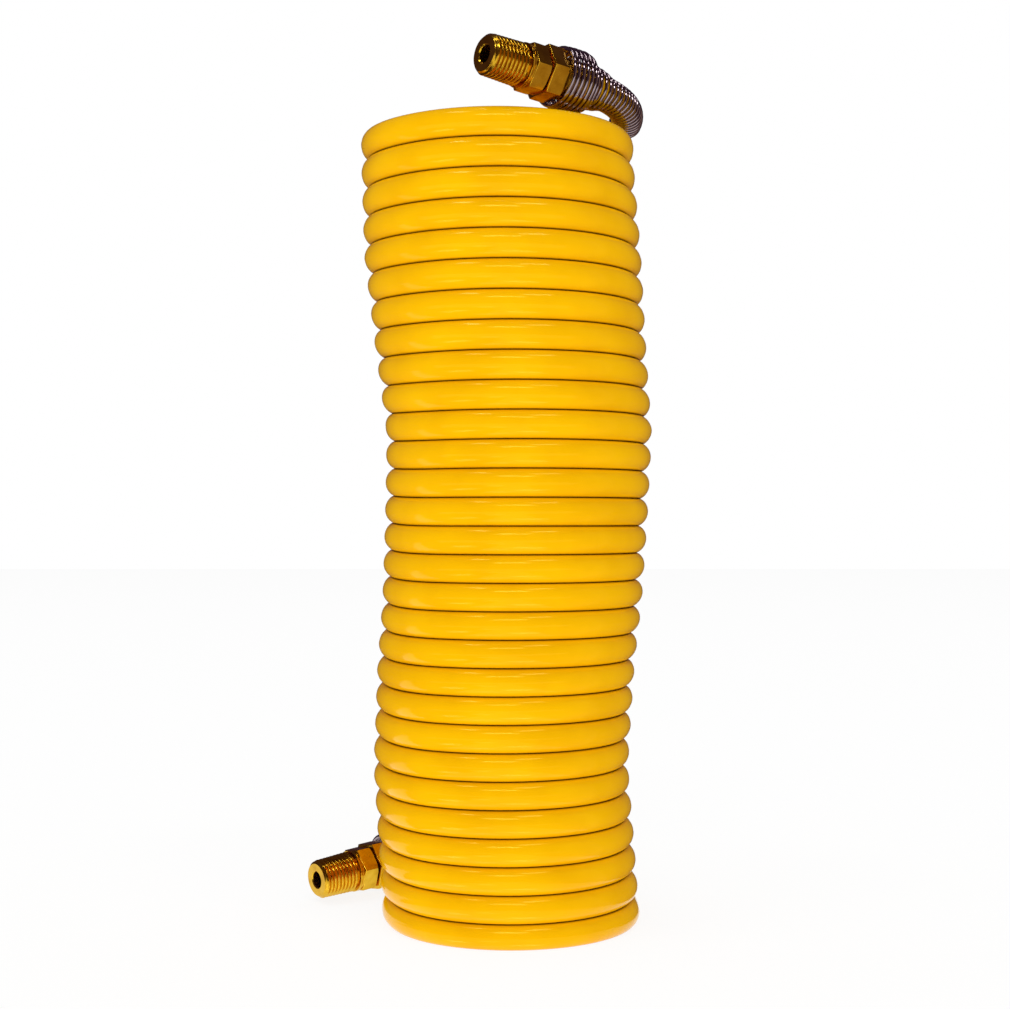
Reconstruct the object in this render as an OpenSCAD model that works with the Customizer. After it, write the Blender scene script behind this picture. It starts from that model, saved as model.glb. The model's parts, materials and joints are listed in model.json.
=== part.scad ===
// Coiled air hose. A nylon tube is wound clockwise, seen from above, into a
// close upright coil that stands on its lowest turn. Each end leaves the coil
// in a gentle bend and carries a brass swivel fitting inside a spring guard.

/* [Hose] */
// Outside diameter of the hose
hose_d = 8.5; // [7.5:0.1:9.5]
// Wall of the hose
hose_wall = 1.05; // [0.9:0.05:1.3]
// Number of turns that show at the front of the coil
turns = 29; // [12:1:36]
// Mean diameter of the coil at half its height
coil_d = 80.2; // [76:0.2:90]
// Growth of the coil's radius from the lowest turn to the highest
coil_growth = 2.6; // [0:0.1:4]
// Gap between the lowest turns
foot_gap = 0.45; // [0.42:0.01:1]
// Gap between the highest turns
top_gap = 0.8; // [0.5:0.05:1.5]
// Mean sideways place of the stacked turns
lean = 0.8; // [0:0.1:2]
// Sideways swing of the stacked turns
bow = 3.4; // [0:0.1:5]

/* [Nipple] */
// Largest diameter of the taper pipe thread at its small end
thread_d = 13.26; // [13:0.01:13.5]
// Pitch of the taper pipe thread
thread_pitch = 1.411; // [1.2:0.001:1.6]
// Length of the threaded part
thread_length = 13.2; // [11:0.1:15]
// Depth of the thread
thread_depth = 0.85; // [0.5:0.05:1]
// Air passage through the nipple
passage_d = 5.6; // [4:0.1:6.5]
// Diameter of the double ring behind the thread
ring_d = 14.6; // [14.4:0.1:15.5]
// Length of the double ring
ring_length = 1.6; // [1:0.1:2.5]
// Width across the flats of the nipple's hexagon
nipple_flats = 14.29; // [13.5:0.01:16]
// Length of the nipple's hexagon
nipple_hex_length = 5.6; // [5.4:0.1:8]
// Diameter of the swivel bore in the nipple
swivel_d = 9; // [8.8:0.1:9.6]

/* [Stem] */
// Radial running clearance of the stem's journal
running_fit = 0.03; // [0.01:0.01:0.1]
// Gap between the nipple and the nut
swivel_gap = 0.5; // [0.2:0.1:1]
// Thickness of the O-ring
o_ring_d = 1.14; // [0.9:0.02:1.2]
// Thickness of the retaining ring
snap_ring_t = 0.9; // [0.7:0.1:1]
// Length of the stem's body
stem_body_length = 7.8; // [6:0.1:9]
// Length of the barb
barb_length = 9; // [7:0.5:9.5]
// Wall of the barb below its teeth
barb_wall = 0.7; // [0.5:0.05:0.9]

/* [Nut] */
// Width across the flats of the nut's hexagon
nut_flats = 15.875; // [15.4:0.005:18]
// Length of the nut's hexagon
nut_hex_length = 5.8; // [4:0.1:8]
// Length of the nut over all
nut_length = 16.3; // [15.5:0.1:17]
// Wall of the nut's sleeve
nut_wall = 0.8; // [0.6:0.05:1.2]
// Length of the ferrule
ferrule_length = 5; // [4:0.1:5.4]
// Wall of the ferrule at its thick end
ferrule_wall = 1.65; // [1.2:0.05:2]

/* [Spring guard] */
// Diameter of the guard's wire
wire_d = 1.28; // [1:0.02:1.3]
// Curls round the nut
nut_curls = 6; // [5:1:8]
// Pitch of the curls round the nut
nut_curl_pitch = 1.74; // [1.72:0.01:1.9]
// Swell of the guard's middle curl beyond its mouth
guard_belly = 0.8; // [0:0.1:1.2]
// Curls that narrow from the nut to the hose
neck_curls = 3; // [2:1:4]
// Pitch of the narrowing curls
neck_curl_pitch = 2.2; // [2.1:0.1:2.8]
// Curls round the hose
hose_curls = 16; // [10:1:18]
// Pitch of the curls round the hose
hose_curl_pitch = 2.2; // [2.15:0.05:2.6]
// Space between the hose and the guard
guard_space = 0.5; // [0.5:0.05:1]

/* [Fitting places] */
// Distance of the outlet's mouth to the left of the coil's axis
outlet_left = 6.5; // [4:0.5:10]
// Distance of the outlet's mouth in front of the coil's mean circle
outlet_front = 4.4; // [2:0.2:8]
// Height of the outlet's mouth above the top turn's centre
outlet_rise = 20.5; // [19.5:0.5:26]
// Distance of the inlet's mouth to the left of the coil's mean circle
inlet_left = 26; // [24:0.5:34]
// Distance of the inlet's mouth behind the coil's axis
inlet_back = 23.5; // [20:0.5:30]
// Space between the floor and the inlet's spring guard
floor_space = 0.1; // [0.05:0.05:3]

/* [Hidden] */
$fn = 64;

// Finishes
nylon_color = "#f2b200";
brass_color = "#b98a1e";
steel_color = "#8c8790";
rubber_color = "#202020";

// The coil's angles go clockwise from the back: 90 is the right, 180 the front.
// Each turn is level except in its climb, round the back.
coil_start = 90;
coil_end = 360 * turns - 15;
climb_start = 215;
climb_angle = 240;
ring_angle = 24;
coil_sides = 6;
tail_sides = 8;
tail_steps = 16;
wire_sides = 4;
curl_steps = 8;
neck_end = nut_curls + neck_curls;
all_curls = neck_end + hose_curls;
pitches = turns - 1;
foot_cut = hose_d / 10;
foot_z = hose_d / 2 - foot_cut;
top_z = foot_z + (hose_d + foot_gap) * pitches + (top_gap - foot_gap) * pitches / 2;
bow_middle = 0.43;
bow_length = 0.74;
stretch_gap = 0.3;
bend_stub = 1.5;

// Directions from each mouth into its fitting: turned from the right towards
// the back, then raised. The hexagons' turns bring a corner to the front.
outlet_turn = 36.5;
outlet_raise = -5.6;
outlet_nipple_hex_turn = 33;
outlet_nut_hex_turn = 27;
inlet_turn = 38;
inlet_raise = 5;
inlet_nipple_hex_turn = 22;
inlet_nut_hex_turn = 22;

// Handles of the two bends, at the coil and at the nut
outlet_coil_handle = 39.5;
outlet_nut_handle = 44;
inlet_coil_handle = 44;
inlet_nut_handle = 39;

// Places along a fitting, from its mouth towards the hose
touch_clear = 0.05;
thread_taper = 1 / 32;
lead_chamfer = 1;
relief_length = 0.8;
relief_depth = 1;
hex_chamfer = 0.6;
core_inset = 1;
ring_groove_depth = 0.3;
ring_groove_share = 0.2;
crest_share = 0.1;
past = 1;
ring_start = thread_length + relief_length;
nipple_hex_start = ring_start + ring_length;
nipple_end = nipple_hex_start + nipple_hex_length;
swivel_bore_lead = 0.6;
swivel_bore_start = nipple_hex_start - swivel_bore_lead;
stem_end_clear = 0.3;
stem_start = swivel_bore_start + stem_end_clear;
o_ring_setback = 1.75;
o_ring_middle = stem_start + o_ring_setback;
o_ring_groove = 1.5;
snap_groove_t = snap_ring_t + 2 * touch_clear;
snap_groove_setback = 1;
snap_groove_start = nipple_end - snap_groove_setback - snap_groove_t;
nut_start = nipple_end + swivel_gap;
nut_hex_end = nut_start + nut_hex_length;
nut_end = nut_start + nut_length;
hose_start = nut_start + stem_body_length;
route_lead = 1.5;
route_start = nut_end + route_lead;
guard_seat = 0.1;
guard_start = nut_hex_end + wire_d / 2 + guard_seat;

// Radii of a fitting
swivel_r = swivel_d / 2;
journal_r = swivel_r - running_fit;
o_ring_clear = 0.02;
o_ring_groove_r = swivel_r - o_ring_d - 3 * o_ring_clear;
snap_ring_inset = 0.6;
snap_ring_outset = 0.5;
snap_ring_clear = 0.1;
snap_ring_inner_r = swivel_r - snap_ring_inset;
snap_ring_outer_r = swivel_r + snap_ring_outset;
snap_ring_opening = 1.6;
hose_bore_r = hose_d / 2 - hose_wall;
barb_r = hose_bore_r - touch_clear;
barb_tooth = 0.35;
barb_teeth = 3;
barb_land = 0.1;
stem_bore_r = barb_r - barb_tooth - barb_wall;
ferrule_r = hose_d / 2 + ferrule_wall;
ferrule_clear = 0.1;
nut_bore_r = ferrule_r + ferrule_clear;
stem_body_r = nut_bore_r - touch_clear;
hose_clear = 0.15;
nut_mouth_r = hose_d / 2 + hose_clear;
ferrule_straight = 2;
nut_cone_start = hose_start + ferrule_straight;
nut_cone_length = 5.5;
sleeve_r = nut_bore_r + nut_wall;
guard_tuck = 0.4;
guard_mouth_r = nut_flats / sqrt(3) - guard_tuck + wire_d / 2;
guard_hose_r = hose_d / 2 + guard_space + wire_d / 2;

// Vectors and curves
function unit(v) = v / norm(v);
function heading(turn, raise) =
    [cos(raise) * cos(turn), cos(raise) * sin(turn), sin(raise)];
function ease(s) =
    let (t = min(max(s, 0), 1))
    t * t * (3 - 2 * t);
function on_bend(bend, s) =
    pow(1 - s, 3) * bend[0] + 3 * pow(1 - s, 2) * s * bend[1]
    + 3 * (1 - s) * s * s * bend[2] + pow(s, 3) * bend[3];
function side(v) = unit(cross(v, [0, 0, 1]));
function along(path, i) = unit(path[min(i + 1, len(path) - 1)] - path[max(i - 1, 0)]);

// Centre line of the coil at an angle
function turns_climbed(a) =
    let (whole = floor((a - climb_start) / 360))
    max(0, whole + ease((a - climb_start - 360 * whole) / climb_angle));
function coil_z(a) =
    let (k = turns_climbed(a))
    foot_z + (hose_d + foot_gap) * k + (top_gap - foot_gap) * k * k / (2 * pitches);
function coil_r(a) = coil_d / 2 + coil_growth * ((a - 180) / (360 * pitches) - 0.5);
function coil_x(z) = lean + bow * sin(360 * (z / top_z - bow_middle) / bow_length);
function coil_point(a) =
    let (z = coil_z(a), r = coil_r(a))
    [r * sin(a) + coil_x(z), r * cos(a), z];
near_angle = 0.25;
function coil_heading(a) = unit(coil_point(a + near_angle) - coil_point(a - near_angle));

// Where the coil's straight ends stop, and the two routes to the fittings
inlet_leave = coil_point(coil_start) - hose_d * coil_heading(coil_start);
outlet_leave = coil_point(coil_end) + hose_d * coil_heading(coil_end);
inlet_axis = heading(inlet_turn, inlet_raise);
outlet_axis = heading(outlet_turn, outlet_raise);
function below_mouth(k) =
    (curl_r(k) + wire_d / 2) * cos(inlet_raise) - curl_place(k) * sin(inlet_raise);
inlet_z = floor_space
    + max([for (i = [0:nut_curls * curl_steps]) below_mouth(i / curl_steps)]);
inlet_mouth = [-coil_d / 2 - inlet_left, inlet_back, inlet_z];
outlet_mouth = [-outlet_left, -coil_d / 2 - outlet_front, top_z + outlet_rise];

// A bend's four control points, from the back of the nut to a straight stub at
// the end of the coil, and the hose's route along both
function bend(mouth, axis, nut_handle, leave, away, coil_handle) =
    let (nut = mouth + route_start * axis, stub = leave + bend_stub * away)
    [nut, nut + nut_handle * axis, stub + coil_handle * away, stub];
outlet_end = outlet_leave + stretch_gap * coil_heading(coil_end);
inlet_bend = bend(inlet_mouth, inlet_axis, inlet_nut_handle,
    inlet_leave, -coil_heading(coil_start), inlet_coil_handle);
outlet_bend = bend(outlet_mouth, outlet_axis, outlet_nut_handle,
    outlet_end, coil_heading(coil_end), outlet_coil_handle);
function route(bend, end) = [for (i = [0:tail_steps]) on_bend(bend, i / tail_steps), end];
inlet_route = route(inlet_bend, inlet_leave);
outlet_route = route(outlet_bend, outlet_end);

coil_steps = ceil((coil_end - coil_start) / ring_angle);
coil_path = [
    inlet_leave,
    for (i = [0:coil_steps]) coil_point(coil_start + (coil_end - coil_start) * i / coil_steps),
    outlet_leave
];

// Share of the bend that is passed at a distance from the fitting's mouth
function travelled(path, i) = i == 0 ? 0 : norm(path[i] - path[i - 1]) + travelled(path, i - 1);
function bend_marks(path) = [
    for (i = [0:tail_steps]) [route_start + travelled(path, i), i / tail_steps]
];
function hose_centre(bend, marks, t, axis) =
    t <= route_start ? bend[0] - (route_start - t) * axis : on_bend(bend, lookup(t, marks));
near_share = 0.01;
function hose_heading(bend, marks, t, axis) =
    let (s = lookup(t, marks))
    t <= route_start
        ? axis
        : unit(on_bend(bend, s + near_share) - on_bend(bend, s - near_share));

// Centre line of a guard's wire: turn k, its place along the hose and its radius
function curl_place(k) =
    guard_start + nut_curl_pitch * min(k, nut_curls)
    + neck_curl_pitch * min(max(k - nut_curls, 0), neck_curls)
    + hose_curl_pitch * max(k - neck_end, 0);
function curl_r(k) =
    k < nut_curls
        ? guard_mouth_r + guard_belly * sin(180 * k / nut_curls)
        : guard_mouth_r + (guard_hose_r - guard_mouth_r) * ease((k - nut_curls) / neck_curls);
function wire_rings(bend, path, axis) =
    let (marks = bend_marks(path))
    [
        for (i = [0:all_curls * curl_steps])
            let (
                k = i / curl_steps,
                v = hose_heading(bend, marks, curl_place(k), axis),
                s = side(v),
                out = cos(360 * k) * s + sin(360 * k) * cross(s, v)
            )
            [hose_centre(bend, marks, curl_place(k), axis) + curl_r(k) * out, out]
    ];
inlet_rings = wire_rings(inlet_bend, inlet_route, inlet_axis);
outlet_rings = wire_rings(outlet_bend, outlet_route, outlet_axis);
function middles(rings) = [for (g = rings) g[0]];
inlet_wire = middles(inlet_rings);
outlet_wire = middles(outlet_rings);

// Least gap of a wound tube to itself, from each ring to those about a turn on
near_rings = 3;
function least_gap(path, steps, d) = min([
    for (i = [0:len(path) - 1 - steps])
        for (j = [steps - near_rings:min(steps + near_rings, len(path) - 1 - i)])
            norm(path[i + j] - path[i]) - d
]);
function gap_between(path, other, d) = min([for (p = path) for (q = other) norm(p - q) - d]);
end_rings = 6;
compared_rings = 60;
coil_top = [for (i = [compared_rings:-1:end_rings]) coil_path[coil_steps + 2 - i]];
coil_foot = [for (i = [end_rings:compared_rings]) coil_path[i]];
echo(coil_least_gap = least_gap(coil_path, 360 / ring_angle, hose_d));
echo(inlet_guard_least_gap = least_gap(inlet_wire, curl_steps, wire_d));
echo(outlet_guard_least_gap = least_gap(outlet_wire, curl_steps, wire_d));
echo(inlet_tail_to_coil = gap_between(inlet_route, coil_foot, hose_d));
echo(outlet_tail_to_coil = gap_between(outlet_route, coil_top, hose_d));
echo(inlet_guard_to_coil = gap_between(inlet_wire, coil_foot, (hose_d + wire_d) / 2));
echo(outlet_guard_to_coil = gap_between(outlet_wire, coil_top, (hose_d + wire_d) / 2));

// A tube through rings, each given by its middle and an outward direction. The
// rings are square to the tube, and none goes below the floor.
function hose_rings(path) = [for (i = [0:len(path) - 1]) [path[i], side(along(path, i))]];
function ring(p, v, out, r, sides) =
    let (s = unit(out - (out * v) * v), u = cross(s, v))
    [
        for (k = [0:sides - 1])
            let (q = p + r * (cos(360 * k / sides) * s + sin(360 * k / sides) * u))
            [q.x, q.y, max(q.z, 0)]
    ];
function tube_faces(rings, sides) = [
    for (k = [1:sides - 2]) [0, k, k + 1],
    for (i = [0:rings - 2])
        for (k = [0:sides - 1])
            let (a = i * sides + k, b = i * sides + (k + 1) % sides)
            each [[a, a + sides, b], [b, a + sides, b + sides]],
    for (k = [1:sides - 2])
        let (e = (rings - 1) * sides)
        [e, e + k + 1, e + k]
];
module tube(rings, r, sides) {
    path = middles(rings);
    polyhedron(
        points = [
            for (i = [0:len(rings) - 1]) each ring(path[i], along(path, i), rings[i][1], r, sides)
        ],
        faces = tube_faces(len(rings), sides)
    );
}

// Puts a fitting's piece, drawn upward from the mouth, in its place
module at_fitting(mouth, turn, raise) {
    translate(mouth)
        rotate([0, 90 - raise, turn])
            children();
}

// An end of the hose: bored where the barb sits, and closed beyond it
module tail(mouth, turn, raise, path) {
    axis = heading(turn, raise);
    color(nylon_color)
        difference() {
            tube(hose_rings([mouth + hose_start * axis, each path]), hose_d / 2, tail_sides);
            at_fitting(mouth, turn, raise)
                translate([0, 0, hose_start - past])
                    cylinder(h = route_start - hose_start + past, r = hose_bore_r);
        }
}

// A hexagon with its corners cut back at the far end
module hexagon(flats, start, length) {
    corner_r = flats / sqrt(3);
    intersection() {
        translate([0, 0, start])
            cylinder(h = length, r = corner_r, $fn = 6);
        rotate_extrude()
            polygon([
                [0, start],
                [corner_r + past, start],
                [corner_r + past, start + length - hex_chamfer],
                [flats / 2, start + length],
                [0, start + length]
            ]);
    }
}

module nipple_body() {
    crest_r = thread_d / 2;
    grooves = floor((thread_length - lead_chamfer) / thread_pitch);
    ring_middle = ring_start + ring_length / 2;
    groove_half = ring_length * ring_groove_share / 2;
    rotate_extrude()
        polygon([
            [0, 0],
            [crest_r - lead_chamfer, 0],
            [crest_r + lead_chamfer * thread_taper, lead_chamfer],
            for (i = [0:grooves - 1])
                let (z = lead_chamfer + i * thread_pitch)
                each [
                    [crest_r + z * thread_taper, z + thread_pitch * crest_share],
                    [crest_r + z * thread_taper - thread_depth, z + thread_pitch / 2],
                    [crest_r + z * thread_taper, z + thread_pitch * (1 - crest_share)]
                ],
            [crest_r + thread_length * thread_taper, thread_length],
            [crest_r - relief_depth, thread_length + relief_length / 4],
            [crest_r - relief_depth, ring_start],
            [ring_d / 2, ring_start],
            [ring_d / 2, ring_middle - groove_half],
            [ring_d / 2 - ring_groove_depth, ring_middle],
            [ring_d / 2, ring_middle + groove_half],
            [ring_d / 2, nipple_hex_start],
            [nipple_flats / 2 - core_inset, nipple_hex_start],
            [nipple_flats / 2 - core_inset, nipple_end - hex_chamfer],
            [0, nipple_end - hex_chamfer]
        ]);
}

module nipple(hex_turn) {
    color(brass_color)
        difference() {
            union() {
                nipple_body();
                rotate([0, 0, hex_turn])
                    hexagon(nipple_flats, nipple_hex_start, nipple_hex_length);
            }
            translate([0, 0, -past])
                cylinder(h = swivel_bore_start + 2 * past, d = passage_d);
            translate([0, 0, swivel_bore_start])
                cylinder(h = nipple_end, r = swivel_r);
            translate([0, 0, snap_groove_start])
                cylinder(h = snap_groove_t, r = snap_ring_outer_r + snap_ring_clear);
        }
}

module stem() {
    barb_start = hose_start;
    barb_step = barb_length / barb_teeth;
    color(brass_color)
        difference() {
            rotate_extrude()
                polygon([
                    [0, stem_start],
                    [journal_r, stem_start],
                    [journal_r, o_ring_middle - o_ring_groove / 2],
                    [o_ring_groove_r, o_ring_middle - o_ring_groove / 2],
                    [o_ring_groove_r, o_ring_middle + o_ring_groove / 2],
                    [journal_r, o_ring_middle + o_ring_groove / 2],
                    [journal_r, snap_groove_start],
                    [snap_ring_inner_r - snap_ring_clear, snap_groove_start],
                    [snap_ring_inner_r - snap_ring_clear, snap_groove_start + snap_groove_t],
                    [journal_r, snap_groove_start + snap_groove_t],
                    [journal_r, nut_start],
                    [stem_body_r, nut_start],
                    [stem_body_r, barb_start],
                    for (i = [0:barb_teeth - 1])
                        each [
                            [barb_r, barb_start + i * barb_step],
                            [barb_r, barb_start + (i + barb_land) * barb_step],
                            [barb_r - barb_tooth, barb_start + (i + 1) * barb_step]
                        ],
                    [0, barb_start + barb_length]
                ]);
            translate([0, 0, stem_start - past])
                cylinder(h = hose_start + barb_length, r = stem_bore_r);
        }
}

module o_ring() {
    color(rubber_color)
        translate([0, 0, o_ring_middle])
            rotate_extrude()
                translate([swivel_r - o_ring_clear - o_ring_d / 2, 0])
                    circle(d = o_ring_d, $fn = 24);
}

module retaining_ring() {
    color(steel_color)
        translate([0, 0, snap_groove_start + touch_clear])
            difference() {
                cylinder(h = snap_ring_t, r = snap_ring_outer_r);
                translate([0, 0, -past])
                    cylinder(h = snap_ring_t + 2 * past, r = snap_ring_inner_r);
                translate([0, -snap_ring_opening / 2, -past])
                    cube([snap_ring_outer_r + past, snap_ring_opening, snap_ring_t + 2 * past]);
            }
}

// Radius of the nut's inner cone, which the ferrule's outside follows
function cone_r(z) =
    nut_bore_r - (nut_bore_r - nut_mouth_r) * (z - nut_cone_start) / nut_cone_length;

module ferrule() {
    ferrule_end = hose_start + ferrule_length;
    color(brass_color)
        rotate_extrude()
            polygon([
                [hose_d / 2, hose_start],
                [ferrule_r, hose_start],
                [ferrule_r, nut_cone_start],
                [cone_r(ferrule_end) - ferrule_clear, ferrule_end],
                [hose_d / 2, ferrule_end]
            ]);
}

module nut(hex_turn) {
    color(brass_color)
        difference() {
            union() {
                rotate([0, 0, hex_turn])
                    hexagon(nut_flats, nut_start, nut_hex_length);
                translate([0, 0, nut_start])
                    cylinder(h = nut_length, r = sleeve_r);
            }
            rotate_extrude()
                polygon([
                    [0, nut_start - past],
                    [nut_bore_r, nut_start - past],
                    [nut_bore_r, nut_cone_start],
                    [nut_mouth_r, nut_cone_start + nut_cone_length],
                    [nut_mouth_r, nut_end + past],
                    [0, nut_end + past]
                ]);
        }
}

module guard(rings) {
    color(steel_color)
        tube(rings, wire_d / 2, wire_sides);
}

module hose_coil() {
    color(nylon_color)
        tube(hose_rings(coil_path), hose_d / 2, coil_sides);
}

module inlet_tail() { tail(inlet_mouth, inlet_turn, inlet_raise, inlet_route); }
module outlet_tail() { tail(outlet_mouth, outlet_turn, outlet_raise, outlet_route); }
module at_inlet() { at_fitting(inlet_mouth, inlet_turn, inlet_raise) children(); }
module at_outlet() { at_fitting(outlet_mouth, outlet_turn, outlet_raise) children(); }
module inlet_nipple() { at_inlet() nipple(inlet_nipple_hex_turn); }
module inlet_stem() { at_inlet() stem(); }
module inlet_o_ring() { at_inlet() o_ring(); }
module inlet_retaining_ring() { at_inlet() retaining_ring(); }
module inlet_ferrule() { at_inlet() ferrule(); }
module inlet_nut() { at_inlet() nut(inlet_nut_hex_turn); }
module inlet_guard() { guard(inlet_rings); }
module outlet_nipple() { at_outlet() nipple(outlet_nipple_hex_turn); }
module outlet_stem() { at_outlet() stem(); }
module outlet_o_ring() { at_outlet() o_ring(); }
module outlet_retaining_ring() { at_outlet() retaining_ring(); }
module outlet_ferrule() { at_outlet() ferrule(); }
module outlet_nut() { at_outlet() nut(outlet_nut_hex_turn); }
module outlet_guard() { guard(outlet_rings); }

hose_coil();
inlet_tail();
outlet_tail();
inlet_nipple();
inlet_stem();
inlet_o_ring();
inlet_retaining_ring();
inlet_ferrule();
inlet_nut();
inlet_guard();
outlet_nipple();
outlet_stem();
outlet_o_ring();
outlet_retaining_ring();
outlet_ferrule();
outlet_nut();
outlet_guard();
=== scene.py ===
"""A coiled air hose: how its nylon, brass, spring wire and rubber look."""

import json
import math

import bpy
import numpy as np
from mathutils import Matrix, Vector

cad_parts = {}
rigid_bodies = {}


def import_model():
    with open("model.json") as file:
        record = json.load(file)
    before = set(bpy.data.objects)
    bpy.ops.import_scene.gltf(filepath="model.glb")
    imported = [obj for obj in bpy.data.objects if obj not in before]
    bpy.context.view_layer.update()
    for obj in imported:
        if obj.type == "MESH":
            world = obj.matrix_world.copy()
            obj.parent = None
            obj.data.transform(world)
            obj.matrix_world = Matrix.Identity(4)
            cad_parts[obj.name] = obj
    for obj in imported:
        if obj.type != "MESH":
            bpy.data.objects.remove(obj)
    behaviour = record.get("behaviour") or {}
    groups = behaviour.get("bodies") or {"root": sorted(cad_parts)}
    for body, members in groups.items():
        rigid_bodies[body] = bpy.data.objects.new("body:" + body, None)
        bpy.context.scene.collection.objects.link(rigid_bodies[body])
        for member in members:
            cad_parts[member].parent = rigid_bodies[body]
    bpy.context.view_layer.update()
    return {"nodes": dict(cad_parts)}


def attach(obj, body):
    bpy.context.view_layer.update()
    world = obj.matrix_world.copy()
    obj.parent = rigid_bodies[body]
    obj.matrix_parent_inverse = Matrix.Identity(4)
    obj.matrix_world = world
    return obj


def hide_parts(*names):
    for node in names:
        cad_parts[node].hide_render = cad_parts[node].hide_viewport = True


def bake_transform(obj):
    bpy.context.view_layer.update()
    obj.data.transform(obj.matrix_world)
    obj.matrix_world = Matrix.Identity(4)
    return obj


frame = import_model()
scene = bpy.context.scene


# Camera. It stands in front of the coil, level with its middle, and looks up
# by half a degree, so the floor lies just under the lowest turn.
camera_distance = 0.560
camera_height = 0.1342
camera_tilt = math.radians(0.535)
camera_data = bpy.data.cameras.new("camera")
camera_data.sensor_width = 36.0
camera_data.lens = 59.2
camera_data.clip_start = 0.01
camera = bpy.data.objects.new("camera", camera_data)
camera.location = (0.0, -camera_distance, camera_height)
camera.rotation_euler = (math.pi / 2 + camera_tilt, 0.0, 0.0)
scene.collection.objects.link(camera)
scene.camera = camera
scene.view_settings.view_transform = "Standard"


# Hose. One nylon tube of 8.5 mm is wound left-handed in 29 turns that touch. It
# is flat where it stands, and bends gently into a fitting at each end. Angles go
# clockwise from the back: 90 is the right and 180 the front.
hose_d = 0.0085
foot_cut = hose_d / 10
turns = 29
coil_d = 0.0802
foot_pitch = 0.008875
top_pitch = 0.009575
opening_start, opening_length = 10.0, 16.0
# The standing coil sways and swells: at ten heights, its radius and how far its
# middle has moved to the right.
shape_levels = (0.003, 0.030, 0.052, 0.087, 0.107, 0.135, 0.163, 0.193, 0.223, 0.255)
coil_radii = (0.0389, 0.0387, 0.0385, 0.0390, 0.0394, 0.0399, 0.0404, 0.0414, 0.0424, 0.0416)
coil_shifts = (0.0020, 0.0002, -0.0014, 0.0004, 0.0024, 0.0038, 0.0048, 0.0018, -0.0008, -0.0026)
coil_start = 90.0
coil_end = 360.0 * turns - 15.0
climb_start = 215.0
climb_angle = 240.0
settle_angle = 30.0
foot_z = hose_d / 2 - foot_cut
# Each fitting has its mouth at a place by the coil, and runs back from there on
# its heading. The hose starts inside its nut.
inlet_mouth = Vector((-coil_d / 2 - 0.026, 0.0235, 0.00804101))
inlet_turn, inlet_raise = 38.0, 5.0
outlet_turn, outlet_raise = 36.5, -5.6
hose_start = 0.0295
route_start = 0.0395
bend_stub = 0.0015
inlet_nut_handle, inlet_coil_handle = 0.039, 0.044
outlet_nut_handle, outlet_coil_handle = 0.044, 0.0395
rings_a_turn = 72
tail_rings = 40
hose_sides = 36
# Half the slit between two turns, and the share of its height that a turn gives
# up where it is pressed flat.
hose_clearance = 0.00001
hose_squeeze = 0.065


def ease(s):
    s = min(max(s, 0.0), 1.0)
    return s * s * (3 - 2 * s)


def level(k):
    """The height of the hose's middle after k turns. Their spacing is the foot's up
    to the tenth turn, and eases from there into the top's by the twenty-sixth."""
    u = min(max((k - opening_start) / opening_length, 0.0), 1.0)
    opened = opening_length * (u**3 - u**4 / 2) + max(0.0, k - opening_start - opening_length)
    return foot_z + foot_pitch * k + (top_pitch - foot_pitch) * opened


outlet_mouth = Vector((-0.0065, -coil_d / 2 - 0.0044, level(turns - 1) + 0.0205))


def heading(turn, raise_):
    turn, raise_ = math.radians(turn), math.radians(raise_)
    return Vector(
        (math.cos(raise_) * math.cos(turn), math.cos(raise_) * math.sin(turn), math.sin(raise_))
    )


def coil_point(angle):
    whole = math.floor((angle - climb_start) / 360)
    k = max(0.0, whole + ease((angle - climb_start - 360 * whole) / climb_angle))
    z = level(k)
    r = float(np.interp(z, shape_levels, coil_radii))
    x = float(np.interp(z, shape_levels, coil_shifts))
    a = math.radians(angle)
    return Vector((r * math.sin(a) + x, r * math.cos(a), z))


def coil_heading(angle):
    return (coil_point(angle + 0.25) - coil_point(angle - 0.25)).normalized()


def on_bend(bend, s):
    a, b, c, d = bend
    return (1 - s) ** 3 * a + 3 * (1 - s) ** 2 * s * b + 3 * (1 - s) * s * s * c + s**3 * d


inlet_axis = heading(inlet_turn, inlet_raise)
outlet_axis = heading(outlet_turn, outlet_raise)
inlet_leave = coil_point(coil_start) - hose_d * coil_heading(coil_start)
outlet_leave = coil_point(coil_end) + hose_d * coil_heading(coil_end)


def bend(mouth, axis, nut_handle, leave, away, coil_handle):
    nut, stub = mouth + route_start * axis, leave + bend_stub * away
    return nut, nut + nut_handle * axis, stub + coil_handle * away, stub


inlet_bend = bend(
    inlet_mouth,
    inlet_axis,
    inlet_nut_handle,
    inlet_leave,
    -coil_heading(coil_start),
    inlet_coil_handle,
)
outlet_bend = bend(
    outlet_mouth,
    outlet_axis,
    outlet_nut_handle,
    outlet_leave,
    coil_heading(coil_end),
    outlet_coil_handle,
)
coil_rings = round((coil_end - coil_start) / 360 * rings_a_turn)
coil_angles = [
    coil_start + (coil_end - coil_start) * i / coil_rings for i in range(coil_rings + 1)
]
hose_path = [inlet_mouth + hose_start * inlet_axis]
hose_path += [on_bend(inlet_bend, i / tail_rings) for i in range(tail_rings + 1)]
hose_path += [coil_point(angle) for angle in coil_angles]
hose_path += [on_bend(outlet_bend, 1 - i / tail_rings) for i in range(tail_rings + 1)]
hose_path += [outlet_mouth + hose_start * outlet_axis]


def tangents(path):
    steps = np.gradient(path, axis=0)
    return steps / np.linalg.norm(steps, axis=1)[:, None]


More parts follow.
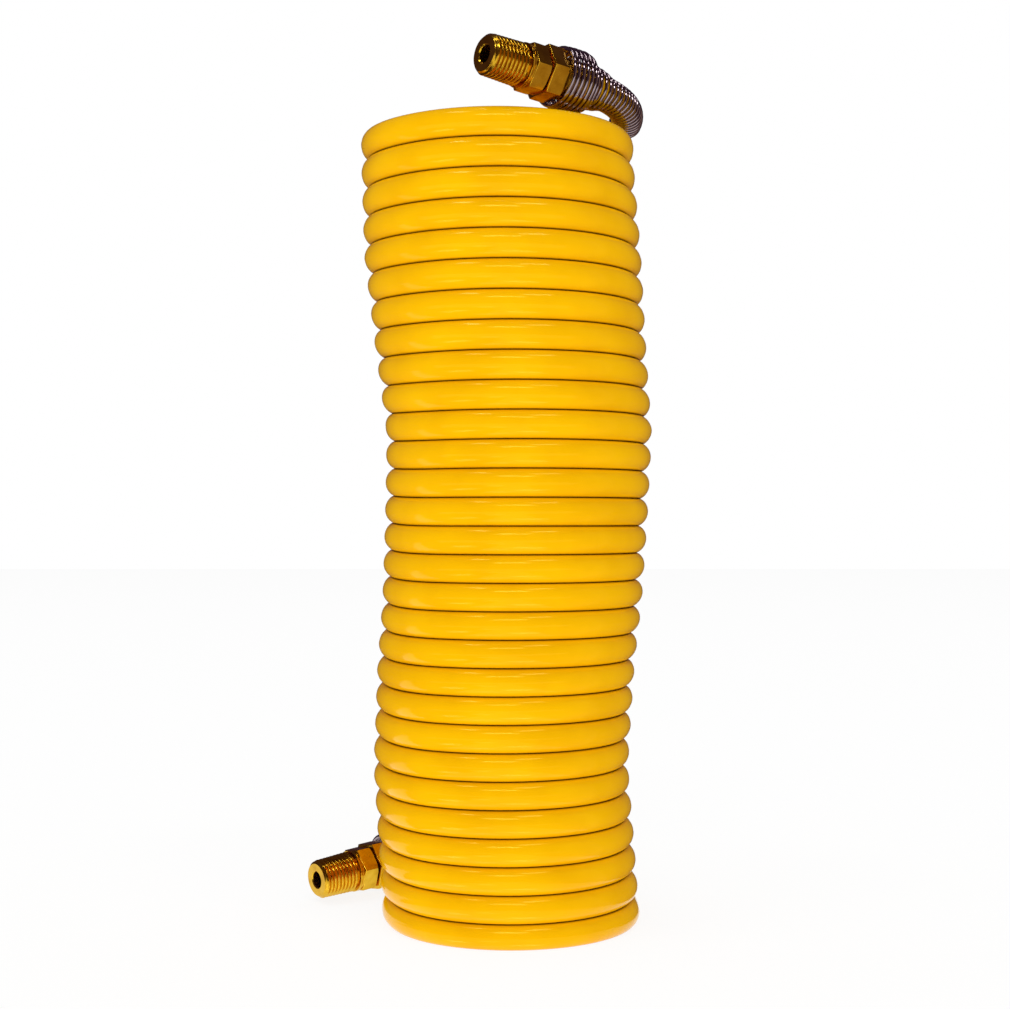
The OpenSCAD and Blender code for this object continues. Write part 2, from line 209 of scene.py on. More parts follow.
def swept_tube(name, path, outward, outlines):
    """A closed tube along the path, with a UV map that runs along and round it.

    outward is one direction across the tube for each of its rings, and outlines
    holds each ring's points as pairs: how far across, and how far over.
    """
    path = np.array(path)
    along = tangents(path)
    across = outward - np.sum(outward * along, axis=1)[:, None] * along
    across /= np.linalg.norm(across, axis=1)[:, None]
    over = np.cross(along, across)
    rims = (
        path[:, None, :]
        + outlines[:, :, 0, None] * across[:, None, :]
        + outlines[:, :, 1, None] * over[:, None, :]
    )
    rims[:, :, 2] = np.maximum(rims[:, :, 2], 0.0)
    count, sides = outlines.shape[:2]
    faces = [tuple(range(sides))[::-1]]
    for i in range(count - 1):
        for k in range(sides):
            a, b = i * sides + k, i * sides + (k + 1) % sides
            faces.append((a, b, b + sides, a + sides))
    faces.append(tuple(range((count - 1) * sides, count * sides)))
    mesh = bpy.data.meshes.new(name)
    mesh.from_pydata(rims.reshape(-1, 3).tolist(), [], faces)
    travelled = np.r_[0, np.cumsum(np.linalg.norm(np.diff(path, axis=0), axis=1))]
    uv = mesh.uv_layers.new(name="along_round")
    for face in mesh.polygons[1:-1]:
        for corner, loop in enumerate(face.loop_indices):
            index = mesh.loops[loop].vertex_index
            wrap = 1.0 if corner in (1, 2) and index % sides == 0 else 0.0
            uv.data[loop].uv = (travelled[index // sides], (index % sides) / sides + wrap)
    for face in mesh.polygons:
        face.use_smooth = True
    piece = bpy.data.objects.new(name, mesh)
    scene.collection.objects.link(piece)
    return piece


def beside(path):
    """The level direction square to the path at each of its points."""
    along = tangents(np.array(path))
    side = np.cross((0.0, 0.0, 1.0), along)
    return side / np.linalg.norm(side, axis=1)[:, None]


def hose_outlines():
    """Each ring's outline: round where it is free, and flat where it is pressed
    against the turns above and below it, towards whose middles it leans. With it
    comes how firmly each of its points is pressed, from none to one."""
    # Half the width, and the heights above and below the middle.
    half = np.full((len(hose_path), 3), hose_d / 2)
    lean_over = np.zeros((len(hose_path), 2))
    squeeze = np.zeros((len(hose_path), 2))
    sides = beside(hose_path)
    first = 1 + tail_rings + 1
    for i, angle in enumerate(coil_angles):
        here = coil_point(angle)
        square = math.sqrt(1 - coil_heading(angle).z ** 2)
        side = Vector(sides[first + i])
        pressed = ease((coil_end - angle) / settle_angle)
        rests = ease((angle - coil_start - 360) / settle_angle + 1)
        covered = ease((coil_end - 360 - angle) / settle_angle + 1)
        to_next, to_last = coil_point(angle + 360) - here, coil_point(angle - 360) - here
        below = hose_d / 2 + rests * (-to_last.z / 2 * square - hose_clearance - hose_d / 2)
        above = to_next.z / 2 * square - hose_clearance
        above = below + covered * (above - below)
        half[first + i, 1] += pressed * (above - hose_d / 2)
        half[first + i, 2] += pressed * (below - hose_d / 2)
        lean_over[first + i] = covered * to_next.dot(side) / 2, rests * to_last.dot(side) / 2
        squeeze[first + i] = covered, rests
    angles = 2 * math.pi * np.arange(hose_sides) / hose_sides
    upper = np.sin(angles) > 0
    across = np.cos(angles) * half[:, :1]
    firmly = np.where(upper, squeeze[:, :1], squeeze[:, 1:2])
    rise = (1 + hose_squeeze * firmly) * np.abs(np.sin(angles))
    firmly = np.where(rise > 1, firmly, 0.0)
    rise = np.minimum(rise, 1.0)
    across += rise * np.where(upper, lean_over[:, :1], lean_over[:, 1:2])
    over = np.where(upper, rise * half[:, 1:2], -rise * half[:, 2:3])
    return np.stack([across, over], axis=2), firmly


outlines, firmly = hose_outlines()
hose = swept_tube("hose", hose_path, beside(hose_path), outlines)
# The pressed share is kept on the hose as the mask for the nylon's painted seam shade.
hose.data.attributes.new("pressed", "FLOAT", "POINT").data.foreach_set("value", firmly.ravel())
# The tube's points are put on its middle while its transform is baked, and then back on its rims.
rims = [v.co.copy() for v in hose.data.vertices]
for v in hose.data.vertices:
    v.co = hose_path[v.index // hose_sides]
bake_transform(hose)
for v, rim in zip(hose.data.vertices, rims):
    v.co = rim
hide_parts("hose_coil", "inlet_tail", "outlet_tail")


def new_material(name):
    """A node material: its shader, its node list and a way to join two sockets."""
    material = bpy.data.materials.new(name)
    material.use_nodes = True
    nodes, links = material.node_tree.nodes, material.node_tree.links
    shader = nodes["Principled BSDF"]
    return material, shader, nodes, links.new


def ramp(nodes, *stops):
    """A colour ramp whose stops are (place, colour)."""
    node = nodes.new("ShaderNodeValToRGB")
    while len(node.color_ramp.elements) < len(stops):
        node.color_ramp.elements.new(0.5)
    for element, (place, color) in zip(node.color_ramp.elements, stops):
        element.position = place
        element.color = (*color, 1.0)
    return node


def noise(nodes, scale, detail=3.0, dimensions="3D"):
    node = nodes.new("ShaderNodeTexNoise")
    node.noise_dimensions = dimensions
    node.inputs["Scale"].default_value = scale
    node.inputs["Detail"].default_value = detail
    return node


def stretched(nodes, join, source, scale):
    """The source's coordinates, drawn out by scale along each axis."""
    mapping = nodes.new("ShaderNodeMapping")
    mapping.inputs["Scale"].default_value = scale
    join(source, mapping.inputs["Vector"])
    return mapping.outputs["Vector"]


nylon, shader, nodes, join = new_material("nylon")
along_round = nodes.new("ShaderNodeUVMap")
along_round.uv_map = "along_round"
place = nodes.new("ShaderNodeTexCoord").outputs["Object"]
cloud = noise(nodes, 55.0, 4.0)
join(place, cloud.inputs["Vector"])
nylon_tint = ramp(
    nodes,
    (0.30, (0.90, 0.455, 0.0006)),
    (0.55, (0.955, 0.500, 0.0008)),
    (0.75, (0.985, 0.530, 0.001)),
)
join(cloud.outputs["Fac"], nylon_tint.inputs["Fac"])
# Painted shade: the base colour turns dark brown in the narrow pressed bands where one turn
# touches the next, standing in for the shade in the seam between them.
pressed = nodes.new("ShaderNodeAttribute")
pressed.attribute_name = "pressed"
seam_shade = nodes.new("ShaderNodeMix")
seam_shade.data_type = "RGBA"
sockets = {socket.identifier: socket for socket in (*seam_shade.inputs, *seam_shade.outputs)}
join(pressed.outputs["Fac"], sockets["Factor_Float"])
join(nylon_tint.outputs["Color"], sockets["A_Color"])
sockets["B_Color"].default_value = (0.17, 0.07, 0.001, 1.0)
join(sockets["Result_Color"], shader.inputs["Base Color"])
# The die left fine lines along the tube, and handling has scuffed it.
die_lines = noise(nodes, 1.0, 2.0)
scuffs = noise(nodes, 1.0, 5.0)
uv = along_round.outputs["UV"]
join(stretched(nodes, join, uv, (14.0, 46.0, 1.0)), die_lines.inputs["Vector"])
join(stretched(nodes, join, uv, (130.0, 9.0, 1.0)), scuffs.inputs["Vector"])
nylon_roughness = nodes.new("ShaderNodeMapRange")
nylon_roughness.inputs["To Min"].default_value = 0.07
nylon_roughness.inputs["To Max"].default_value = 0.17
join(scuffs.outputs["Fac"], nylon_roughness.inputs["Value"])
join(nylon_roughness.outputs["Result"], shader.inputs["Roughness"])
die_bump = nodes.new("ShaderNodeBump")
die_bump.inputs["Strength"].default_value = 0.06
die_bump.inputs["Distance"].default_value = 0.0001
join(die_lines.outputs["Fac"], die_bump.inputs["Height"])
join(die_bump.outputs["Normal"], shader.inputs["Normal"])
shader.inputs["IOR"].default_value = 1.53
shader.inputs["Specular IOR Level"].default_value = 0.4
shader.inputs["Specular Tint"].default_value = (1.0, 0.74, 0.12, 1.0)
hose.data.materials.append(nylon)


# Brass fittings. Each nipple and nut is turned from hexagon bar: a chamfered
# blank has its hexagon milled, its taper thread cut by a V tool that follows a
# helix, and its bores drilled. Lengths run from the mouth towards the hose.
thread_d = 0.01326
thread_pitch = 0.001411
thread_length = 0.0132
thread_taper = 1 / 32
relief_depth = 0.0010
rings_a_pitch = 22
ring_start = 0.0140
ring_d = 0.0146
nipple_hex_start = 0.0156
nipple_flats = 0.01429
nipple_end = 0.0212
mouth_r = 0.0034
mouth_depth = 0.00035
passage_r = 0.0028
swivel_start = 0.0150
swivel_bore_r = 0.0045
groove_start, groove_end = 0.0192, 0.0202
groove_r = 0.0051
nut_start = 0.0217
nut_hex_end = 0.0275
nut_flats = 0.015875
nut_end = 0.0380
nut_bore_r = 0.0060
nut_cone_start, nut_cone_end = 0.0315, 0.0370
nut_mouth_r = 0.00462
sleeve_d = 0.0136
hex_chamfer = 0.0006
corner_round = 0.00018
broken_edge = 0.0001
drill_past = 0.0010
lathe_sides = 120
inlet_hex_turn = 22.0
outlet_nipple_turn, outlet_nut_turn = 33.0, 27.0


def select_only(piece):
    bpy.ops.object.select_all(action="DESELECT")
    piece.select_set(True)
    bpy.context.view_layer.objects.active = piece


def turn_on_lathe(name, outline):
    """A solid of revolution about Z, drawn out ring by ring from a filled circle."""
    (r, z), rest = outline[0], outline[1:]
    bpy.ops.object.select_all(action="DESELECT")
    bpy.ops.mesh.primitive_circle_add(
        vertices=lathe_sides, radius=r, fill_type="NGON", location=(0, 0, z)
    )
    piece = bpy.context.object
    piece.name = name
    bpy.ops.object.mode_set(mode="EDIT")
    bpy.ops.mesh.select_all(action="SELECT")
    for next_r, next_z in rest:
        bpy.ops.mesh.extrude_region_move(TRANSFORM_OT_translate={"value": (0, 0, next_z - z)})
        grow = next_r / r
        bpy.ops.transform.resize(value=(grow, grow, 1.0), center_override=(0, 0, next_z))
        r, z = next_r, next_z
    bpy.ops.mesh.select_all(action="SELECT")
    bpy.ops.mesh.normals_make_consistent(inside=False)
    bpy.ops.object.mode_set(mode="OBJECT")
    bpy.ops.object.transform_apply(location=True, rotation=True, scale=True)
    return piece


def cut_with(piece, tool, operation="DIFFERENCE"):
    select_only(piece)
    bpy.ops.object.modifier_add(type="BOOLEAN")
    cut = piece.modifiers[-1]
    cut.operation = operation
    cut.solver = "EXACT"
    cut.object = tool
    bpy.ops.object.modifier_apply(modifier=cut.name)
    bpy.data.objects.remove(tool)
    return piece


def hexagon_bar(name, flats, start, end):
    """A length of hexagon bar with softened corners, chamfered at its far end."""
    corner = flats / math.sqrt(3)
    bpy.ops.object.select_all(action="DESELECT")
    bpy.ops.mesh.primitive_cylinder_add(
        vertices=6,
        radius=corner,
        depth=end - start,
        location=(0, 0, (start + end) / 2),
        rotation=(0, 0, math.pi / 2),
    )
    bar = bpy.context.object
    bar.name = name
    bpy.ops.object.transform_apply(location=True, rotation=True, scale=True)
    bpy.ops.object.modifier_add(type="BEVEL")
    bevel = bar.modifiers[-1]
    bevel.width = corner_round
    bevel.segments = 3
    bevel.limit_method = "ANGLE"
    bevel.angle_limit = math.radians(40)
    bpy.ops.object.modifier_apply(modifier=bevel.name)
    wide = corner + 0.0008
    blank = turn_on_lathe(
        name + "_blank",
        [
            (corner - 0.0002, start - broken_edge),
            (wide, start + 0.0008),
            (wide, end - hex_chamfer - 0.0004),
            (flats / 2 - broken_edge, end + broken_edge),
        ],
    )
    return cut_with(bar, blank, "INTERSECT")


def cut_thread(piece):
    """Cuts the right-handed taper thread, whose crests and roots are slightly
    rounded, into the rings of the barrel."""
    shares = (-0.5, -0.42, -0.34, -0.10, 0.0, 0.10, 0.34, 0.42, 0.5)
    depths = (0.0, 0.00006, 0.00022, 0.00084, 0.00092, 0.00084, 0.00022, 0.00006, 0.0)
    for v in piece.data.vertices:
        if 2 * broken_edge < v.co.z < thread_length + broken_edge:
            turned = math.atan2(v.co.y, v.co.x) / (2 * math.pi)
            place = (v.co.z / thread_pitch - turned) % 1 - 0.5
            outside = thread_d / 2 + v.co.z * thread_taper
            left = outside - float(np.interp(place, shares, depths))
            r = math.hypot(v.co.x, v.co.y)
            if r > left:
                v.co.x *= left / r
                v.co.y *= left / r


def set_in_place(piece, hex_turn, mouth, turn, raise_, body, node):
    """Notes each point's distance from the mouth, then puts the piece in the model."""
    along = piece.data.attributes.new("along", "FLOAT", "POINT")
    along.data.foreach_set("value", [v.co.z for v in piece.data.vertices])
    select_only(piece)
    bpy.ops.object.shade_smooth_by_angle(angle=math.radians(32))
    tilt = Matrix.Rotation(math.radians(90 - raise_), 4, "Y")
    swing = Matrix.Rotation(math.radians(turn), 4, "Z")
    roll = Matrix.Rotation(math.radians(hex_turn), 4, "Z")
    piece.data.transform(Matrix.Translation(mouth) @ swing @ tilt @ roll)
    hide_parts(node)
    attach(piece, body)


def make_nipple():
    """The barrel with its thread, the relief behind it, a grooved collar, and the
    hexagon, drilled for the air and for the stem with its retaining ring."""
    crest, collar = thread_d / 2, ring_d / 2
    relief, core = crest - relief_depth, nipple_flats / 2 - 0.0012
    barrel = [(relief, 0.0), (relief + broken_edge, broken_edge)]
    rings = round(thread_length / thread_pitch * rings_a_pitch)
    for i in range(1, rings + 1):
        z = broken_edge + (thread_length - broken_edge) * i / rings
        barrel.append((min(relief + z, crest + z * thread_taper), z))
    nipple = turn_on_lathe(
        "nipple",
        barrel
        + [
            (relief, thread_length + 0.0002),
            (relief, ring_start),
            (collar - broken_edge, ring_start),
            (collar, ring_start + broken_edge),
            (collar, ring_start + 0.0006),
            (collar - 0.0003, ring_start + 0.0008),
            (collar, ring_start + 0.0010),
            (collar, nipple_hex_start - broken_edge),
            (core, nipple_hex_start),
            (core, nipple_end - 0.0007),
        ],
    )
    cut_thread(nipple)
    hexagon = hexagon_bar("nipple_hex", nipple_flats, nipple_hex_start, nipple_end)
    cut_with(nipple, hexagon, "UNION")
    drill = turn_on_lathe(
        "nipple_drill",
        [
            (mouth_r, -0.0002),
            (passage_r, mouth_depth),
            (passage_r, swivel_start),
            (swivel_bore_r, swivel_start),
            (swivel_bore_r, groove_start),
            (groove_r, groove_start),
            (groove_r, groove_end),
            (swivel_bore_r, groove_end),
            (swivel_bore_r, nipple_end + drill_past),
        ],
    )
    return cut_with(nipple, drill)


def make_nut():
    """A round sleeve and a hexagon, bored with a cone that closes the ferrule."""
    nut = turn_on_lathe(
        "nut",
        [
            (sleeve_d / 2, nut_start + 0.0006),
            (sleeve_d / 2, nut_end - 0.0004),
            (sleeve_d / 2 - 0.0004, nut_end),
        ],
    )
    cut_with(nut, hexagon_bar("nut_hex", nut_flats, nut_start, nut_hex_end), "UNION")
    drill = turn_on_lathe(
        "nut_drill",
        [
            (nut_bore_r + 0.0004, nut_start - 0.0002),
            (nut_bore_r, nut_start + 0.0003),
            (nut_bore_r, nut_cone_start),
            (nut_mouth_r, nut_cone_end),
            (nut_mouth_r, nut_end + drill_past),
        ],
    )
    return cut_with(nut, drill)


def another(piece, name):
    """A copy with its own mesh."""
    copy = piece.copy()
    copy.data = piece.data.copy()
    copy.name = name
    scene.collection.objects.link(copy)
    return copy


inlet_nipple = make_nipple()
inlet_nipple.name = "brass_inlet_nipple"
outlet_nipple = another(inlet_nipple, "brass_outlet_nipple")
inlet_nut = make_nut()
inlet_nut.name = "brass_inlet_nut"
outlet_nut = another(inlet_nut, "brass_outlet_nut")
inlet_place = (inlet_mouth, inlet_turn, inlet_raise)
outlet_place = (outlet_mouth, outlet_turn, outlet_raise)
set_in_place(inlet_nipple, inlet_hex_turn, *inlet_place, "inlet_nipple", "inlet_nipple")
set_in_place(inlet_nut, inlet_hex_turn, *inlet_place, "root", "inlet_nut")
set_in_place(
    outlet_nipple, outlet_nipple_turn, *outlet_place, "outlet_nipple", "outlet_nipple"
)
set_in_place(outlet_nut, outlet_nut_turn, *outlet_place, "outlet_end", "outlet_nut")


def effect_group(name, *outputs):
    """A shader node group, its node list, a way to join sockets, and its outlet."""
    group = bpy.data.node_groups.new(name, "ShaderNodeTree")
    for label, kind in outputs:
        group.interface.new_socket(name=label, in_out="OUTPUT", socket_type=kind)
    return group, group.nodes, group.links.new, group.nodes.new("NodeGroupOutput")


def use_group(nodes, group):
    node = nodes.new("ShaderNodeGroup")
    node.node_tree = group
    return node


# Yellow brass that has been handled: uneven tarnish, smeared a little duller.
tarnished, nodes, join, outlet = effect_group(
    "tarnished_brass", ("Color", "NodeSocketColor"), ("Roughness", "NodeSocketFloat")
)
tarnish = noise(nodes, 260.0, 5.0)
join(nodes.new("ShaderNodeTexCoord").outputs["Object"], tarnish.inputs["Vector"])
brass_tint = ramp(
    nodes,
    (0.30, (0.60, 0.32, 0.015)),
    (0.52, (0.76, 0.44, 0.025)),
    (0.80, (0.84, 0.52, 0.05)),
)
join(tarnish.outputs["Fac"], brass_tint.inputs["Fac"])
join(brass_tint.outputs["Color"], outlet.inputs["Color"])
smear = nodes.new("ShaderNodeMapRange")
smear.inputs["To Min"].default_value = 0.10
smear.inputs["To Max"].default_value = 0.26
join(tarnish.outputs["Fac"], smear.inputs["Value"])
join(smear.outputs["Result"], outlet.inputs["Roughness"])


def new_brass(name):
    brass, shader, nodes, join = new_material(name)
    finish = use_group(nodes, tarnished)
    join(finish.outputs["Color"], shader.inputs["Base Color"])
    join(finish.outputs["Roughness"], shader.inputs["Roughness"])
    shader.inputs["Metallic"].default_value = 1.0
    return brass, shader, nodes, join


# The outside of the fittings also keeps the lathe's faint feed marks.
machined_brass, shader, nodes, join = new_brass("machined_brass")
along = nodes.new("ShaderNodeAttribute")
along.attribute_name = "along"
feed = noise(nodes, 9000.0, 1.0, "1D")
join(along.outputs["Fac"], feed.inputs["W"])
marks = nodes.new("ShaderNodeBump")
marks.inputs["Strength"].default_value = 0.12
marks.inputs["Distance"].default_value = 0.00003
join(feed.outputs["Fac"], marks.inputs["Height"])
join(marks.outputs["Normal"], shader.inputs["Normal"])
for piece in (inlet_nipple, inlet_nut, outlet_nipple, outlet_nut):
    piece.data.materials.clear()
    piece.data.materials.append(machined_brass)


def dress(node, material):
    """Gives a CAD node that stays its own finish."""
    piece = frame["nodes"][node]
    if not piece.material_slots:
        piece.data.materials.append(material)
    for slot in piece.material_slots:
        slot.link = "OBJECT"
        slot.material = material


# Stems and ferrules. They are turned from the same brass and sit inside the
# nut and the nipple, so only a sliver of the stem shows in the swivel's gap.
plain_brass = new_brass("plain_brass")[0]
for node in ("inlet_stem", "inlet_ferrule", "outlet_stem", "outlet_ferrule"):
    dress(node, plain_brass)


# O-rings. Black nitrile rubber with a dull, slightly mottled skin seals each
# stem in its nipple.
rubber, shader, nodes, join = new_material("nitrile_rubber")
mottle = noise(nodes, 900.0, 3.0)
join(nodes.new("ShaderNodeTexCoord").outputs["Object"], mottle.inputs["Vector"])
rubber_tint = ramp(nodes, (0.3, (0.010, 0.010, 0.011)), (0.8, (0.024, 0.023, 0.022)))
join(mottle.outputs["Fac"], rubber_tint.inputs["Fac"])
join(rubber_tint.outputs["Color"], shader.inputs["Base Color"])
shader.inputs["Roughness"].default_value = 0.55
for node in ("inlet_o_ring", "outlet_o_ring"):
    dress(node, rubber)


# Spring guards. A bright spring wire is wound wide round the nut's sleeve,
# narrows in three curls, and follows the hose round its bend for sixteen more.
wire_d = 0.00128
nut_curls, neck_curls, hose_curls = 6, 3, 16
nut_curl_pitch, neck_curl_pitch, hose_curl_pitch = 0.00174, 0.0022, 0.0022
guard_start = nut_hex_end + wire_d / 2 + 0.0001
guard_places = (0.0, 0.0035, 0.0080, 0.0104, 0.0124, 0.0150, 0.0176, 0.0205, 0.0230)
guard_radii = (0.0094, 0.0098, 0.0098, 0.0092, 0.0070, 0.0066, 0.0062, 0.0053, 0.0050)
guard_start_turn = 0.55
curl_gap = 0.00005
rings_a_curl = 40
wire_sides = 10
bend_steps = 400


def guard_path(bend, axis):
    """The wire's middle, and its outward direction, at each of its rings. The first
    curl lies close to the second, as at a spring's closed end."""
    line = [on_bend(bend, i / bend_steps) for i in range(bend_steps + 1)]
    marks = np.r_[0, np.cumsum([(b - a).length for a, b in zip(line, line[1:])])]
    centres, outward = [], []
    neck_end = nut_curls + neck_curls
    for i in range((neck_end + hose_curls) * rings_a_curl + 1):
        k = i / rings_a_curl
        t = nut_curl_pitch * min(k, nut_curls)
        t += neck_curl_pitch * min(max(k - nut_curls, 0), neck_curls)
        t += hose_curl_pitch * max(k - neck_end, 0)
        t -= (nut_curl_pitch - wire_d - curl_gap) * min(k, 1) * (1 - min(k / nut_curls, 1))
        r = float(np.interp(t, guard_places, guard_radii))
        t += guard_start
        if t <= route_start:
            centre, along = bend[0] - (route_start - t) * axis, axis
        else:
            s = float(np.interp(t - route_start, marks, np.linspace(0, 1, bend_steps + 1)))
            centre = on_bend(bend, s)
            along = (on_bend(bend, s + 0.01) - on_bend(bend, s - 0.01)).normalized()
        side = along.cross(Vector((0, 0, 1))).normalized()
        turn = 2 * math.pi * (k + guard_start_turn)
        out = math.cos(turn) * side + math.sin(turn) * side.cross(along)
        centres.append(centre + r * out)
        outward.append(out)
    return np.array(centres), np.array(outward)


def wind_guard(name, bend, axis):
    centres, outward = guard_path(bend, axis)
    angles = 2 * math.pi * np.arange(wire_sides) / wire_sides
    round_wire = wire_d / 2 * np.stack([np.cos(angles), np.sin(angles)], axis=1)
    return swept_tube(name, centres, outward, np.tile(round_wire, (len(centres), 1, 1)))


inlet_guard = wind_guard("spring_guard_inlet", inlet_bend, inlet_axis)
outlet_guard = wind_guard("spring_guard_outlet", outlet_bend, outlet_axis)

# Bright drawn steel: fine lines where the die dragged along the wire.
drawn_steel, nodes, join, outlet = effect_group(
    "drawn_steel", ("Color", "NodeSocketColor"), ("Roughness", "NodeSocketFloat")
)
drawn_steel.interface.new_socket(name="Lines", in_out="INPUT", socket_type="NodeSocketFloat")
lines = nodes.new("NodeGroupInput").outputs["Lines"]
steel_tint = ramp(nodes, (0.25, (0.20, 0.14, 0.16)), (0.6, (0.46, 0.38, 0.40)))
join(lines, steel_tint.inputs["Fac"])
join(steel_tint.outputs["Color"], outlet.inputs["Color"])
steel_roughness = nodes.new("ShaderNodeMapRange")
steel_roughness.inputs["To Min"].default_value = 0.04
steel_roughness.inputs["To Max"].default_value = 0.12
join(lines, steel_roughness.inputs["Value"])
join(steel_roughness.outputs["Result"], outlet.inputs["Roughness"])


def new_steel(name):
    steel, shader, nodes, join = new_material(name)
    finish = use_group(nodes, drawn_steel)
    join(finish.outputs["Color"], shader.inputs["Base Color"])
    join(finish.outputs["Roughness"], shader.inputs["Roughness"])
    shader.inputs["Metallic"].default_value = 1.0
    lines = noise(nodes, 1.0, 3.0)
    join(lines.outputs["Fac"], finish.inputs["Lines"])
    return steel, nodes, join, lines


spring_steel, nodes, join, lines = new_steel("spring_steel")
along_round = nodes.new("ShaderNodeUVMap")
along_round.uv_map = "along_round"
join(stretched(nodes, join, along_round.outputs["UV"], (60.0, 24.0, 1.0)), lines.inputs["Vector"])
for piece, body, node in (
    (inlet_guard, "root", "inlet_guard"),
    (outlet_guard, "outlet_end", "outlet_guard"),
):
    piece.data.materials.append(spring_steel)
    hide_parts(node)
    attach(piece, body)


# Retaining rings. Split rings of the same drawn steel hold the nipples on
# their stems, in a groove that no one sees.
ring_steel, nodes, join, lines = new_steel("ring_steel")
place = nodes.new("ShaderNodeTexCoord").outputs["Object"]
join(stretched(nodes, join, place, (700.0, 700.0, 700.0)), lines.inputs["Vector"])
for node in ("inlet_retaining_ring", "outlet_retaining_ring"):
    dress(node, ring_steel)


# Floor and backdrop: one pale sheet under and behind the hose, in an even white
# room. Both show as plain white, and the sheet keeps the hose's faint shadow.
bpy.ops.object.select_all(action="DESELECT")
bpy.ops.mesh.primitive_plane_add(size=8.0, location=(0, 0, 0))
floor = bpy.context.object
floor.name = "floor"


def when_seen(nodes, join):
    """One where a camera, glossy or transmission ray asks, and none elsewhere."""
    ray = nodes.new("ShaderNodeLightPath")
    seen = ray.outputs["Is Camera Ray"]
    for kind in ("Is Glossy Ray", "Is Transmission Ray"):
        either = nodes.new("ShaderNodeMath")
        either.operation = "MAXIMUM"
        join(seen, either.inputs[0])
        join(ray.outputs[kind], either.inputs[1])
        seen = either.outputs["Value"]
    return seen


white_paper, shader, nodes, join = new_material("white_paper")
shader.inputs["Base Color"].default_value = (0.90, 0.90, 0.90, 1.0)
shader.inputs["Roughness"].default_value = 0.9
shader.inputs["Specular IOR Level"].default_value = 0.0
plain_white = nodes.new("ShaderNodeEmission")
plain_white.inputs["Strength"].default_value = 1.02
# The rest of its share is the lit paper, which keeps the shadow.
share = nodes.new("ShaderNodeMath")
share.operation = "MULTIPLY"
share.inputs[1].default_value = 0.85
join(when_seen(nodes, join), share.inputs[0])
shown = nodes.new("ShaderNodeMixShader")
join(share.outputs["Value"], shown.inputs["Fac"])
join(shader.outputs["BSDF"], shown.inputs[1])
join(plain_white.outputs["Emission"], shown.inputs[2])
join(shown.outputs["Shader"], nodes["Material Output"].inputs["Surface"])
floor.data.materials.append(white_paper)

world = bpy.data.worlds.new("white_room")
scene.world = world
world.use_nodes = True
nodes, join = world.node_tree.nodes, world.node_tree.links.new
room = nodes["Background"]
room.inputs["Color"].default_value = (1.0, 1.0, 1.0, 1.0)
room.inputs["Strength"].default_value = 0.66
seen_room = nodes.new("ShaderNodeBackground")
seen_room.inputs["Color"].default_value = (1.0, 1.0, 1.0, 1.0)
choice = nodes.new("ShaderNodeMixShader")
join(when_seen(nodes, join), choice.inputs["Fac"])
join(room.outputs["Background"], choice.inputs[1])
join(seen_room.outputs["Background"], choice.inputs[2])
join(choice.outputs["Shader"], nodes["World Output"].inputs["Surface"])


# Lamps: two banks of small soft boxes in front of the hose, one above it and one
# below, and one soft box overhead. The floor doesn't shade the lower bank.
lit = Vector((0.0, 0.0, camera_height))
lamp_distance = 6.0
no_floor = bpy.data.collections.new("all_but_the_floor")
for piece in scene.objects:
    if piece is not floor and piece.type == "MESH":
        no_floor.objects.link(piece)
for name, azimuth, elevation, wide, high, strength in (
    ("upper_left", -57.7, 65.5, 13, 6, 7.2),
    ("upper_middle", -1.4, 43.1, 26, 6, 9.0),
    ("upper_right", 36.0, 59.3, 18, 6, 7.2),
    ("lower_left", -53.2, -39.0, 17, 7, 12.0),
    ("lower_mid_left", -18.7, -22.1, 14, 6, 7.0),
    ("lower_centre", -30.9, -67.2, 14, 6, 8.0),
    ("lower_right", 16.3, -54.1, 20, 7, 11.5),
    ("overhead", -60.0, 88.0, 16, 10, 6.0),
):
    turn, rise = math.radians(azimuth), math.radians(elevation)
    away = Vector(
        (math.sin(turn) * math.cos(rise), -math.cos(turn) * math.cos(rise), math.sin(rise))
    )
    box = bpy.data.lights.new(name, "AREA")
    box.shape = "RECTANGLE"
    box.size = 2 * lamp_distance * math.tan(math.radians(wide / 2))
    box.size_y = 2 * lamp_distance * math.tan(math.radians(high / 2))
    box.energy = strength * math.pi * box.size * box.size_y
    lamp = bpy.data.objects.new(name, box)
    lamp.location = lit + lamp_distance * away
    lamp.rotation_euler = away.to_track_quat("Z", "Y").to_euler()
    lamp.visible_camera = False
    lamp.light_linking.blocker_collection = no_floor
    scene.collection.objects.link(lamp)


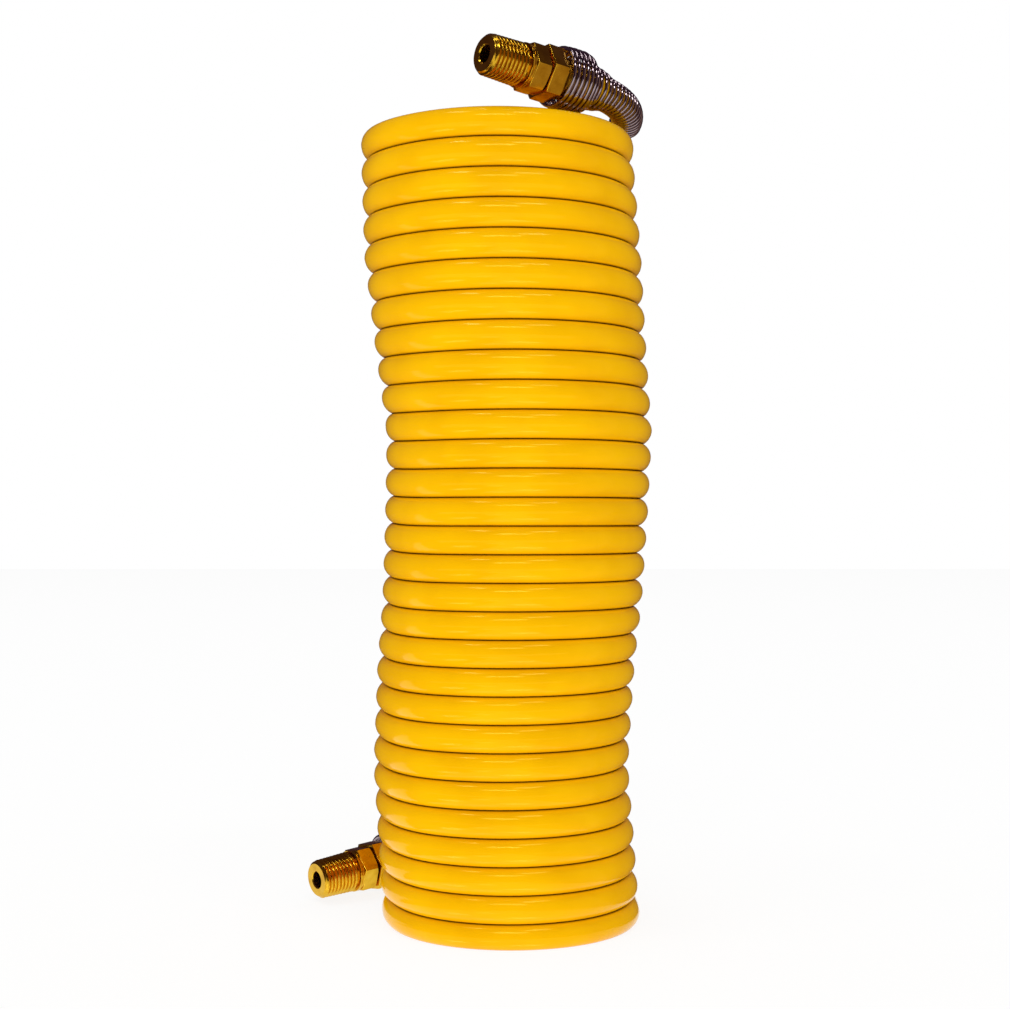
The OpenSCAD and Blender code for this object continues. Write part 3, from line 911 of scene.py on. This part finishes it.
# Flags: dark screens to the left, the right, overhead, behind the camera and low
# on the floor, that only reflections show, with one warm brown card on the right.
dark, warm = (0.055, 0.030, 0.050), (0.38, 0.27, 0.20)
near, far, tent_top = 0.6, 6.6, 7.0
wall_front, sheet_front, card_back = -0.25, -0.45, -0.02
beside_hose = 0.055
card_x, card_top = 0.55, 0.6
mouth_gap = (-0.01, 0.06)
wall_foot, sheet_z, card_foot = 0.001, 0.00005, 0.002


def upright(x0, y0, x1, y1, low, top):
    """The corners of a wall that stands on the line between two points."""
    return [(x0, y0, low), (x0, y0, top), (x1, y1, top), (x1, y1, low)]


def flat_sheet(x0, x1, y0, y1, z):
    return [(x0, y0, z), (x1, y0, z), (x1, y1, z), (x0, y1, z)]


def make_screen(name, color, *panels):
    """One mesh of four-cornered panels that glow a little, for glossy rays alone."""
    mesh = bpy.data.meshes.new(name)
    faces = [tuple(range(4 * i, 4 * i + 4)) for i in range(len(panels))]
    mesh.from_pydata([corner for panel in panels for corner in panel], [], faces)
    screen = bpy.data.objects.new(name, mesh)
    scene.collection.objects.link(screen)
    material = bpy.data.materials.new(name)
    material.use_nodes = True
    nodes, join = material.node_tree.nodes, material.node_tree.links.new
    nodes.remove(nodes["Principled BSDF"])
    glow = nodes.new("ShaderNodeEmission")
    glow.inputs["Color"].default_value = (*color, 1.0)
    join(glow.outputs["Emission"], nodes["Material Output"].inputs["Surface"])
    screen.data.materials.append(material)
    screen.visible_camera = False
    screen.visible_diffuse = False
    screen.visible_transmission = False
    screen.visible_volume_scatter = False
    screen.visible_shadow = False


make_screen(
    "dark_walls",
    dark,
    upright(-near, wall_front, -near, near, wall_foot, tent_top),
    upright(-near, near, near, near, wall_foot, tent_top),
    upright(near, near, near, wall_front, wall_foot, tent_top),
    flat_sheet(-near, -beside_hose, sheet_front, mouth_gap[0], sheet_z),
    flat_sheet(-near, -beside_hose, mouth_gap[1], near, sheet_z),
    flat_sheet(beside_hose, near, card_back, near, sheet_z),
)
make_screen(
    "dark_tent",
    dark,
    upright(-far, 0.0, -far, -far, wall_foot, tent_top),
    upright(-far, -far, far, -far, wall_foot, tent_top),
    upright(far, -far, far, 0.0, wall_foot, tent_top),
    flat_sheet(-far, far, -far, near, tent_top),
)
make_screen(
    "warm_card",
    warm,
    upright(card_x, sheet_front, card_x, card_back, card_foot, card_top),
    flat_sheet(beside_hose, card_x, sheet_front, card_back, card_foot),
)
